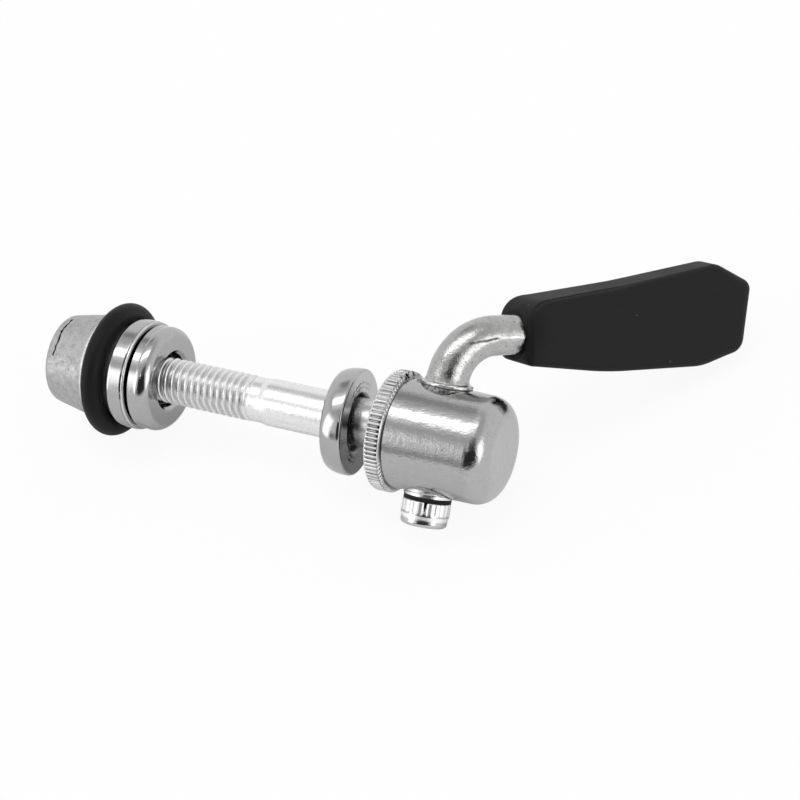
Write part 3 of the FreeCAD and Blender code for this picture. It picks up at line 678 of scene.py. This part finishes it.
def knurled_band():
    """Ring with straight teeth: a closed outline turned round the housing's axis, whose radius drops
    in each tooth's valley by depth x valley(turn) between a rolled front edge and a plain lip."""
    low, high = reach("knurled_ring")
    centre = (low[1:] + high[1:]) / 2
    crest = (high[2] - low[2]) / 2
    front, end = low[0], high[0]
    back = end - SPIGOT_LENGTH
    lip = back - LIP_WIDTH
    web = front + RING_WEB
    inner = SPIGOT_RADIUS - RING_WALL
    roll = np.radians(np.linspace(0, 90, 7))
    outline = [(front, BORE_RADIUS), (front, BORE_RADIUS + 2.4), (front, crest - 1.6)]
    outline += [(front + RING_ROLL * (1 - math.cos(a)), crest - RING_ROLL * (1 - math.sin(a)))
                for a in roll]
    outline += [(x, crest) for x in np.linspace(front + 0.6, lip - 0.06, 12)]
    outline += [(lip, crest - 0.16), (lip + 0.05, crest - 0.08), (lip + 0.12, crest - 0.1),
                (back, crest - 0.3), (back + 0.1, crest - 0.6), (back + 0.22, HOUSING_MOUTH + 0.02),
                (back + 0.22, HOUSING_MOUTH - 0.25), (back + 0.12, SPIGOT_RADIUS),
                (end, SPIGOT_RADIUS), (end, inner), (web, inner), (web, BORE_RADIUS),
                (front, BORE_RADIUS)]
    rng = np.random.default_rng(11)
    depth = KNURL_DEPTH * rng.uniform(0.8, 1.1, KNURL_COUNT)
    shift = rng.uniform(-0.06, 0.06, KNURL_COUNT)

    def plain_share(turn):
        """1 where the lip stays plain, round the pockets, and 0 where the teeth run out over it."""
        return smooth(np.abs(turn - POCKET_TURN), 0.5, 0.3)

    def teeth(x, radius, turn):
        tooth = turn / (2 * np.pi) * KNURL_COUNT
        k = np.floor(tooth).astype(int) % KNURL_COUNT
        valley = smooth(np.abs(tooth - np.floor(tooth) - 0.5 - shift[k]), 0.42, 0.08)
        run_out = (1 - plain_share(turn)) * smooth(x, back + 0.2, back - 0.1)
        ends = smooth(x, front + 0.05, front + 0.6) * np.where(x < lip - 0.03, 1.0, run_out)
        outer = radius > HOUSING_MOUTH + 0.1
        depth_here = np.minimum(depth[k] * valley * ends, radius - HOUSING_MOUTH)
        burr = lattice_noise(turn / (2 * np.pi), (x - front) / 12, (170, 30), 12)
        burr = burr * mound(turn - BURR_TURN, 0.42) * smooth(x, lip - 1.0, lip)
        return radius - outer * (depth_here - 0.14 * np.minimum(burr, 0.25))

    points, turn, radius = turned(outline, KNURL_COUNT * 14, centre=centre, radius_change=teeth)
    x = points[..., 0]
    outer = radius > HOUSING_MOUTH + 0.1
    toothed = outer & (x > front + 0.5) & (x < lip - 0.02)
    # Painted shade: the valleys a little darker, dark pockets where they end at the lip near POCKET_TURN,
    # and the ring's face against the housing darker; the burrs are chipped plating
    hollow = smooth(crest - radius, 0.1, 0.35)
    from_side = np.abs(turn - POCKET_TURN)
    pocket = hollow * smooth(x, lip - 0.9, lip - 0.1) * smooth(from_side, 0.55, 0.2)
    burrs = smooth(lattice_noise(turn / (2 * np.pi), (x - front) / 12, (200, 40), 13), 0.1, 0.6)
    burrs = burrs * mound(turn - BURR_TURN, 0.36) * smooth(x, front + 0.6, lip)
    grime_and_shade = toothed * (0.2 * hollow + 1.2 * pocket) + outer * 1.3 * burrs
    foot = smooth(x, back + 0.02, back + 0.14) * (radius > SPIGOT_RADIUS + 1)
    grime_and_shade = grime_and_shade + foot * (0.35 + 0.9 * smooth(from_side, 0.5, 0.2))
    # Partly frosted metal, partly a painted highlight: the crests and lip paler and duller, less so in
    # the valleys and round the burrs
    frost_and_light = outer * (0.55 - 0.5 * hollow * toothed) * (1 - 0.7 * mound(turn - BURR_TURN, 0.5))
    return piece("knurled_band", [(points, grime_and_shade, frost_and_light)], CHROME, "housing",
                 ["knurled_ring"], sharp=60.0)


def nut_places():
    """Tip, groove and face of the cone nut along the rod, and its flange's radius."""
    low, high = reach("cone_nut")
    front = high[0] - FLANGE_WIDTH
    return low[0] + 0.005, front - GROOVE_WIDTH, front, high[0], (high[2] - low[2]) / 2 - 0.008


def tapered_nut():
    """Cone nut: its outline turned round the rod, with a ragged scribed line near the tip, whose
    depth is a mound in x with a wandering middle and strength, and a painted highlight as a pale line
    beside the ring."""
    tip, back, front, _, _ = nut_places()
    taper = (CONE_RIM - CONE_TIP) / (back - tip)
    scribe = tip + SCRIBE_FROM_TIP
    rim, f = CONE_RIM_ROUND, CONE_TIP_ROUND
    cone = np.concatenate([np.linspace(back - rim - 0.06, scribe + 0.6, 30),
                           np.linspace(scribe + 0.55, scribe - 0.5, 41)])
    nose = CONE_TIP + taper * f
    outline = [(front + 0.1, NUT_BORE), (front + 0.1, GROOVE_FLOOR), (back, GROOVE_FLOOR)]
    outline += [(back - rim * (1 - math.cos(a)), CONE_RIM - rim * (1 - math.sin(a)))
                for a in np.radians(range(0, 91, 15))]
    outline += [(x, CONE_RIM - taper * (back - x)) for x in cone]
    outline += [(tip + f * (1 - math.sin(a)), nose - f * (1 - math.cos(a)) - 0.02)
                for a in np.radians([8, 25, 45, 65, 80])]
    outline += [(tip, nose - f - 0.05), (tip, NUT_BORE + NUT_MOUTH), (tip + NUT_MOUTH, NUT_BORE),
                (front + 0.1, NUT_BORE)]

    def line(x, turn):
        share = turn / (2 * np.pi)
        middle = scribe + 0.16 * ring_noise(share, 60, 21) + 0.07 * ring_noise(share, 190, 24)
        from_middle = np.degrees(turn_between(turn, math.radians(SCRIBE_TURN)))
        strength = smooth(from_middle, SCRIBE_HALF, SCRIBE_HALF - 2)
        strength = strength * (0.8 + 0.4 * ring_noise(share, 140, 22))
        return strength * mound(x - middle, 0.14 + 0.05 * ring_noise(share, 100, 25))

    def scratch(x, radius, turn):
        outer = radius > CONE_TIP - 1
        wave = 0.012 * lattice_noise(turn / (2 * np.pi), (x - tip) / 40, (16, 14), 23)
        return radius + outer * (wave - 0.012 - 0.1 * line(x, turn))

    points, turn, radius = turned(outline, 540, radius_change=scratch)
    x = points[..., 0]
    grime_and_shade = np.where(radius > CONE_TIP - 1, 2.4 * line(x, turn), 0.3)
    # Painted highlight: a pale line on the cone just beside the O-ring
    frost_and_light = 1.2 * mound(x - back + 0.95, 0.14) * (radius > CONE_RIM - 0.5)
    return piece("tapered_nut", [(points, grime_and_shade, frost_and_light)], SATIN, "adjusting_nut",
                 ["cone_nut"], sharp=50.0)


def nut_flange():
    """The cone nut's bright flange: an outline turned round the rod, with a broad band, a ragged step
    and a narrow pale bead against the washer."""
    _, _, front, face, flange = nut_places()
    step = face - BEAD_WIDTH
    outline = [(face, NUT_BORE + NUT_MOUTH), (face, flange - 0.34), (face - 0.04, flange - 0.2),
               (face - 0.12, flange - 0.1), (face - 0.22, flange - 0.07), (step + 0.1, flange - 0.08),
               (step + 0.03, flange - 0.15), (step - 0.03, flange - 0.14), (step - 0.07, flange - 0.03),
               (step - 0.16, flange)]
    outline += [(x, flange) for x in np.linspace(step - 0.25, front + 0.3, 8)]
    outline += [(front + 0.14, flange - 0.03), (front + 0.04, flange - 0.12), (front, flange - 0.25),
                (front, GROOVE_FLOOR - 0.1), (front, NUT_BORE), (face - NUT_MOUTH, NUT_BORE),
                (face, NUT_BORE + NUT_MOUTH)]
    points, turn, radius = turned(outline, 360)
    x = points[..., 0]
    rim = radius > flange - 1
    nick = smooth(ring_noise(turn / (2 * np.pi), 120, 26), -0.3, 0.4)
    near_side = smooth(np.abs(turn - math.pi), 0.75, 0.4)
    grime_and_shade = 1.5 * nick * near_side * mound(x - step, 0.07) * rim
    frost_and_light = 0.7 * smooth(x, step + 0.02, step + 0.12) * smooth(x, face - 0.05, face - 0.15) * rim
    return piece("nut_flange", [(points, grime_and_shade, frost_and_light)], CHROME, "adjusting_nut",
                 sharp=50.0)


def loose_washer():
    """Washer that leans on the rod. Its side rolls off towards its hidden face as a quarter ellipse,
    and the drill left ragged rings on the face that looks to the lever. Painted shade darkens that face
    towards the bottom and round the near side of the bore, and the bore inside; a painted highlight
    lightens the face's upper part."""
    low, high = reach("housing_washer")
    middle = (low + high) / 2
    thick, big, bore = WASHER_THICKNESS, WASHER_RADIUS, WASHER_BORE
    roll = np.radians(np.linspace(0, 90, 15))
    length = thick - WASHER_FLAT
    outline = [(0, bore + 0.5)] + [(0, r) for r in np.linspace(bore + 0.6, big - 0.45, 34)]
    outline += [(-0.03, big - 0.3), (-0.1, big - 0.16), (-0.2, big - 0.07), (-0.34, big - 0.02)]
    outline += [(-WASHER_FLAT - length * math.sin(a), big - WASHER_ROLL * (1 - math.cos(a)))
                for a in roll]
    outline += [(-thick, bore + 0.5), (0.5 - thick, bore), (-0.5, bore), (0, bore + 0.5)]

    def ring_marks(radius, turn):
        """Ragged rings at two radii, strong at the top of the face and in one place below."""
        share = turn / (2 * np.pi)
        wobble = 0.16 * ring_noise(share, 90, 41)
        where = mound(turn - math.radians(108), 0.6) + 0.8 * mound(turn - math.radians(250), 0.3)
        broken = 0.35 + 0.65 * smooth(ring_noise(share, 60, 42), -0.4, 0.5)
        lines = sum(mound(radius - at - wobble, 0.14) for at in (bore + 1.15, bore + 1.9))
        return lines * where * broken

    points, turn, radius = turned(outline, 300)
    front = points[..., 0] > -0.02
    marks = ring_marks(radius, turn) * front
    points[..., 0] -= 0.12 * marks
    degrees = np.degrees(turn)
    # Painted shade: the face darker towards the bottom, the near side of the bore's rim, and the bore; a
    # painted highlight makes the face's upper part lighter
    painted_shade_below = 0.62 * smooth(degrees, 110, 165) * smooth(degrees, 345, 300)
    ragged = 0.12 * ring_noise(turn / (2 * np.pi), 70, 43)
    near = smooth(np.abs(turn - math.radians(172)), 1.5, 0.9)
    rim = smooth(radius + ragged, bore + 1.0, bore + 0.7) * near
    grime_and_shade = front * (1.2 * marks + painted_shade_below + rim) + 0.9 * ((radius < bore + 0.55) & ~front)
    frost_and_light = front * 0.2 * smooth(degrees, 165, 105)
    points[..., 0] += thick / 2
    lean, way = math.radians(WASHER_LEAN), math.radians(WASHER_LEAN_TURN)
    spin = Matrix.Rotation(lean, 3, Vector((1, 0, 0)).cross(Vector((0, math.cos(way), math.sin(way)))))
    points = points @ np.array(spin).T + middle
    return piece("loose_washer", [(points, grime_and_shade, frost_and_light)], CHROME, "housing_side_washer",
                 ["housing_washer"], sharp=50.0)


def fluted_cap():
    """Cap nut on the lever's stud: an outline turned round the shaft, whose radius drops by a flute's
    or the slit's depth in the upper band, the slit tapering down from the rim."""
    low, high = reach("retaining_nut")
    bottom, top = low[2], high[2]
    radius_top = (high[0] - low[0]) / 2 - 0.003
    foot, corner = radius_top - 0.15, CAP_ROUND
    floor_at = bottom + CAP_FLOOR
    band = top - FLUTE_LENGTH
    bend = np.radians(np.linspace(0, 90, 7))
    outline = [(bottom, 0.0), (bottom, 1.6)]
    outline += [(bottom + corner * (1 - math.cos(a)), foot - corner * (1 - math.sin(a))) for a in bend]
    outline += [(z, foot + (radius_top - foot) * smooth(z, band - 0.8, band))
                for z in np.linspace(bottom + 0.8, band, 6)]
    outline += [(z, radius_top) for z in np.linspace(band + 0.06, top - 0.12, 16)]
    outline += [(top - 0.03, radius_top - 0.06), (top, radius_top - 0.15), (top, STUD_RADIUS),
                (floor_at, STUD_RADIUS), (floor_at, 0.0)]
    rng = np.random.default_rng(17)
    shift = rng.uniform(-0.12, 0.12, FLUTE_COUNT)
    slit_turn = math.radians(SLIT_TURN)

    def cuts(z, turn):
        """Depth of the flutes and the slit at a height and a turn, and the slit's share of 1."""
        flute = (turn - slit_turn) / (2 * np.pi) * FLUTE_COUNT
        k = np.floor(flute).astype(int) % FLUTE_COUNT
        across = np.abs(flute - np.floor(flute) - 0.5 - shift[k])
        run = smooth(z, band - 0.05, band + 0.35)
        from_slit = turn_between(turn, slit_turn) * radius_top
        width = 0.22 * smooth(z, top - SLIT_LENGTH, top)
        slit = smooth(from_slit, width + 0.06, width - 0.02) * (z > top - SLIT_LENGTH)
        deep = SLIT_DEPTH * smooth(z, top - SLIT_LENGTH, top - 0.7)
        return np.maximum(FLUTE_DEPTH * smooth(across, 0.36, 0.05) * run, deep * slit), slit

    def radius_change(z, radius, turn):
        depth, _ = cuts(z, turn)
        return radius - depth * (radius > STUD_RADIUS + 0.5) * (z > band - 0.1)

    points, turn, radius = turned(outline, FLUTE_COUNT * 30, axis="z", radius_change=radius_change)
    z = points[..., 2]
    _, slit = cuts(z, turn)
    outer = radius > STUD_RADIUS + 0.5
    banded = (z > band - 0.1) & outer
    # Painted shade darkens the inside of the slit
    grime_and_shade = banded * 1.2 * slit * smooth(z, band + 0.3, band + 1.1)
    frost_and_light = banded * (1.2 - slit) * smooth(z, band - 0.1, band + 0.4)
    frost_and_light = frost_and_light + ~banded * (0.3 * outer + 1.2 * smooth(z, band - 1.0, band - 0.6))
    points[..., :2] += (low[:2] + high[:2]) / 2
    return piece("fluted_cap", [(points, grime_and_shade, frost_and_light)], CHROME, "lever",
                 ["retaining_nut"], sharp=55.0)


def dress(node, material):
    """Gives a carried-over CAD node its material on the object's own slot."""
    obj = frame["nodes"][node]
    if not obj.material_slots:
        obj.data.materials.append(None)
    for held in obj.material_slots:
        held.link = "OBJECT"
        held.material = material


threaded_rod()
tapered_nut()
nut_flange()
loose_washer()
knurled_band()
seat_burr()
fluted_cap()
lever_bar()
moulded_grip()
dress("nut_o_ring", RUBBER)
dress("nut_washer", CHROME)
dress("cam_housing", BRUSHED)
dress("steel_washer", ROLLED)
dress("friction_washer", MOULDED)


# Room round the part, seen from it: a wall's and a ceiling's level and the edge between them, then
# the windows and dark places as (azimuth, half width, elevation, half height, edge, level), in degrees
WALL_LEVEL = 0.95
CEILING_LEVEL = 0.68
CEILING_EDGE = (32.0, 56.0)
WINDOWS = (
    (-140.0, 26.0, 62.0, 8.0, 8.0, 0.6),      # ceiling in front of the lamp
    (126.0, 12.0, 43.0, 9.0, 7.0, 0.4),       # beam of the far wall
    (-114.0, 7.0, 10.0, 6.0, 5.0, 0.35),      # skirting between it and the left window
    (-71.0, 34.0, 28.0, 22.0, 5.0, 0.04),     # the dark side that the camera stands on
    (-56.0, 26.0, 53.0, 9.0, 6.0, 0.17),      # its upper edge, paler
    (-91.0, 2.5, 47.0, 3.5, 2.0, 4.0),        # a lamp on that side
    (-135.0, 13.0, 21.0, 19.0, 5.0, 2.4),     # left window
    (-15.0, 12.0, 12.0, 21.0, 4.0, 2.4),      # right window
)
# Ceiling lamp, in heights above the part: middle, half length and half width with their soft
# edges, its turn in degrees, and the glow at its ends
LAMP_MIDDLE = (-0.26, 0.02)
LAMP_HALF = (0.54, 0.14)
LAMP_EDGE = (0.06, 0.035)
LAMP_TURN = 13.0
LAMP_LEVEL = 3.2
GLOW_LEVEL = 1.3
GLOW_REACH = 0.34
HORIZON = 0.05
FLOOR_HALF = 3.0
FLOOR_WHITE = 0.92      # how much of the seen floor is plain white, the rest keeping its shadow
# How much of the white floor is mirrored: everywhere, and more in the pool of light beyond the
# housing, with the pool's edge along the rod in metres
FLOOR_SHARE = 0.15
POOL_SHARE = 0.7
POOL_EDGE = (0.020, 0.034)


def floor_material():
    """White for what looks straight at it, with the object's shadow kept faintly. In reflections it
    is dim, with a brighter pool beyond the housing."""
    material, tree, shader = new_material("white_floor")
    shader.inputs["Base Color"].default_value = (0.9, 0.9, 0.9, 1)
    shader.inputs["Roughness"].default_value = 0.9
    shader.inputs["Specular IOR Level"].default_value = 0.0
    rays = add(tree, "ShaderNodeLightPath").outputs
    place = add(tree, "ShaderNodeSeparateXYZ")
    tree.links.new(add(tree, "ShaderNodeTexCoord").outputs["Object"], place.inputs[0])
    pool = multiply(tree, soft_step(tree, place.outputs["X"], *POOL_EDGE), POOL_SHARE)
    mirrored = multiply(tree, rays["Is Glossy Ray"], combine(tree, "ADD", pool, FLOOR_SHARE))
    seen = combine(tree, "MAXIMUM", rays["Is Camera Ray"], mirrored)
    glow = add(tree, "ShaderNodeEmission", Color=(1, 1, 1, 1), Strength=1.0).outputs[0]
    mix = add(tree, "ShaderNodeMixShader", Fac=multiply(tree, seen, FLOOR_WHITE))
    tree.links.new(shader.outputs[0], mix.inputs[1])
    tree.links.new(glow, mix.inputs[2])
    output = next(n for n in tree.nodes if n.type == "OUTPUT_MATERIAL")
    tree.links.new(mix.outputs[0], output.inputs["Surface"])
    return material


def floor():
    """A level square that the part lies on."""
    mesh = bpy.data.meshes.new("floor")
    corners = [(x * FLOOR_HALF, y * FLOOR_HALF, 0) for x, y in ((-1, -1), (1, -1), (1, 1), (-1, 1))]
    mesh.from_pydata(corners, [], [(0, 1, 2, 3)])
    mesh.materials.append(floor_material())
    obj = bpy.data.objects.new("floor", mesh)
    bpy.context.scene.collection.objects.link(obj)


def patch_group():
    """1 inside a soft-edged window of the sky and 0 outside, from azimuth and elevation."""
    names = ("Azimuth", "Elevation", "Centre", "Half", "Height", "Half Height", "Soft")
    tree, given, out = group("window", {name: ("Float", 1.0) for name in names}, {"Factor": "Float"})
    turn = combine(tree, "SUBTRACT", given["Azimuth"], given["Centre"])
    wrapped = add(tree, "ShaderNodeMath", operation="WRAP")
    tree.links.new(turn, wrapped.inputs[0])
    wrapped.inputs[1].default_value = 180.0
    wrapped.inputs[2].default_value = -180.0
    rise = combine(tree, "SUBTRACT", given["Elevation"], given["Height"])
    shares = []
    for gap, half in ((wrapped.outputs[0], given["Half"]), (rise, given["Half Height"])):
        edge = combine(tree, "SUBTRACT", half, combine(tree, "ABSOLUTE", gap, 0.0))
        shares.append(soft_step(tree, combine(tree, "DIVIDE", edge, given["Soft"]), -1.0, 1.0))
    tree.links.new(multiply(tree, *shares), out["Factor"])
    return tree


def world():
    """A pale room with windows, a ceiling strip and a dark side. It is white where it is seen."""
    made = bpy.data.worlds.new("room")
    made.use_nodes = True
    tree = made.node_tree
    back = next(n for n in tree.nodes if n.type == "BACKGROUND")
    way = add(tree, "ShaderNodeTexCoord").outputs["Generated"]
    parts = tree.nodes.new("ShaderNodeSeparateXYZ")
    tree.links.new(way, parts.inputs[0])
    x, y, z = (parts.outputs[k] for k in "XYZ")
    azimuth = multiply(tree, combine(tree, "ARCTAN2", y, x), math.degrees(1))
    elevation = multiply(tree, combine(tree, "ARCSINE", z, 0.0), math.degrees(1))
    shape = patch_group()
    level = mix_levels(tree, soft_step(tree, elevation, *CEILING_EDGE), WALL_LEVEL, CEILING_LEVEL)
    for centre, half, height, half_height, soft, value in WINDOWS:
        window = tree.nodes.new("ShaderNodeGroup")
        window.node_tree = shape
        tree.links.new(azimuth, window.inputs["Azimuth"])
        tree.links.new(elevation, window.inputs["Elevation"])
        for label, number in (("Centre", centre), ("Half", half), ("Height", height),
                              ("Half Height", half_height), ("Soft", soft)):
            window.inputs[label].default_value = number
        level = mix_levels(tree, window.outputs[0], level, value)
    above = combine(tree, "MAXIMUM", z, HORIZON)
    turn = math.radians(LAMP_TURN)
    ways = ((math.cos(turn), math.sin(turn)), (-math.sin(turn), math.cos(turn)))
    flat = [combine(tree, "SUBTRACT", combine(tree, "DIVIDE", way, above), at)
            for way, at in zip((x, y), LAMP_MIDDLE)]
    inside = []
    for (a, b), half in zip(ways, LAMP_HALF):
        across = combine(tree, "ADD", multiply(tree, flat[0], a), multiply(tree, flat[1], b))
        inside.append(combine(tree, "SUBTRACT", half, combine(tree, "ABSOLUTE", across, 0.0)))
    along, over = (soft_step(tree, gap, -soft, soft) for gap, soft in zip(inside, LAMP_EDGE))
    along = multiply(tree, combine(tree, "GREATER_THAN", z, HORIZON), along)
    glow = multiply(tree, along, soft_step(tree, inside[1], -GLOW_REACH, 0.0))
    level = mix_levels(tree, glow, level, GLOW_LEVEL)
    level = mix_levels(tree, multiply(tree, along, over), level, LAMP_LEVEL)
    seen = add(tree, "ShaderNodeLightPath").outputs["Is Camera Ray"]
    tree.links.new(mix_levels(tree, seen, level, 1.0), back.inputs["Strength"])
    back.inputs["Color"].default_value = (1, 1, 1, 1)
    bpy.context.scene.world = made


def mix_levels(tree, share, first, second):
    """first where share is 0, second where it is 1."""
    node = tree.nodes.new("ShaderNodeMix")
    for socket, value in zip(node.inputs[:1] + node.inputs[2:4], (share, first, second)):
        if isinstance(value, bpy.types.NodeSocket):
            tree.links.new(value, socket)
        else:
            socket.default_value = value
    return node.outputs[0]


def camera():
    """The reference view: the fitted place and turn, carried into the scene."""
    data = bpy.data.cameras.new("reference_view")
    data.lens = LENS
    data.sensor_width = SENSOR
    data.clip_start = 0.01
    obj = bpy.data.objects.new("reference_view", data)
    back = unit(np.array(CAMERA_BACK) @ AXES)
    right = np.array(CAMERA_RIGHT) @ AXES
    right = unit(right - back * (right @ back))
    up = np.cross(back, right)
    rows = np.stack([right, up, back, placed(CAMERA_PLACE)], 1).tolist()
    obj.matrix_world = Matrix(rows + [[0, 0, 0, 1]])
    bpy.context.scene.collection.objects.link(obj)
    bpy.context.scene.camera = obj


floor()
world()
camera()
bpy.context.scene.view_settings.view_transform = "Standard"
